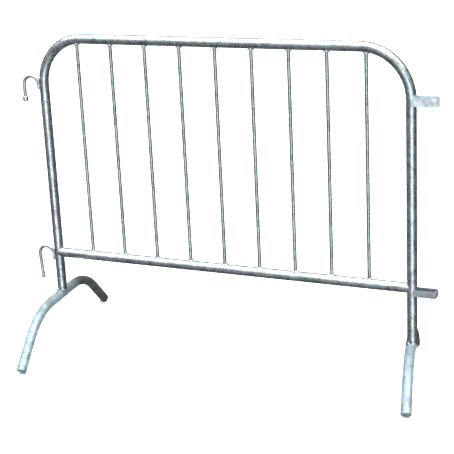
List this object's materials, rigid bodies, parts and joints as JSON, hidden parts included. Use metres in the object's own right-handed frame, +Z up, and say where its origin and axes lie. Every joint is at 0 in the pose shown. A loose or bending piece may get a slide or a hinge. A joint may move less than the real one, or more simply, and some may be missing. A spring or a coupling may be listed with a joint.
{
  "type": "crowd control barrier",
  "caption": "Free-standing welded steel tube barrier with upright bars, two arched feet, and hooks and loops that join it to its neighbours.",
  "frame": {"origin": "on the ground, under the middle of the panel", "axes": "+X along the panel from the hook post to the loop post, -Y the front, +Z up"},
  "size_m": [1.5003, 0.7429, 1.119],
  "materials": {
    "tube_zinc": "hot-dip galvanised, dull zinc spangle",
    "bar_zinc": "hot-dip galvanised, dull zinc spangle",
    "foot_zinc": "hot-dip galvanised, dull zinc spangle",
    "hook_zinc": "hot-dip galvanised, dull zinc spangle",
    "strap_zinc": "hot-dip galvanised, dull zinc spangle",
    "weld_zinc": "hot-dip galvanised, dull zinc spangle"
  },
  "bodies": {
    "root": {"frame_tube": "tube_zinc", "bottom_rail": "tube_zinc", "bar_1": "bar_zinc", "bar_2": "bar_zinc", "bar_3": "bar_zinc", "bar_4": "bar_zinc", "bar_5": "bar_zinc", "bar_6": "bar_zinc", "bar_7": "bar_zinc", "bar_8": "bar_zinc", "bar_9": "bar_zinc", "left_foot": "foot_zinc", "right_foot": "foot_zinc", "left_foot_caps": "foot_zinc", "right_foot_caps": "foot_zinc", "upper_hook": "hook_zinc", "upper_hook_knob": "hook_zinc", "lower_hook": "hook_zinc", "upper_loop": "strap_zinc", "lower_loop": "strap_zinc", "bar_top_welds": "weld_zinc", "bar_bottom_welds": "weld_zinc", "rail_end_welds": "weld_zinc", "foot_welds": "weld_zinc", "hook_welds": "weld_zinc", "loop_welds": "weld_zinc"}
  },
  "joints": []
}
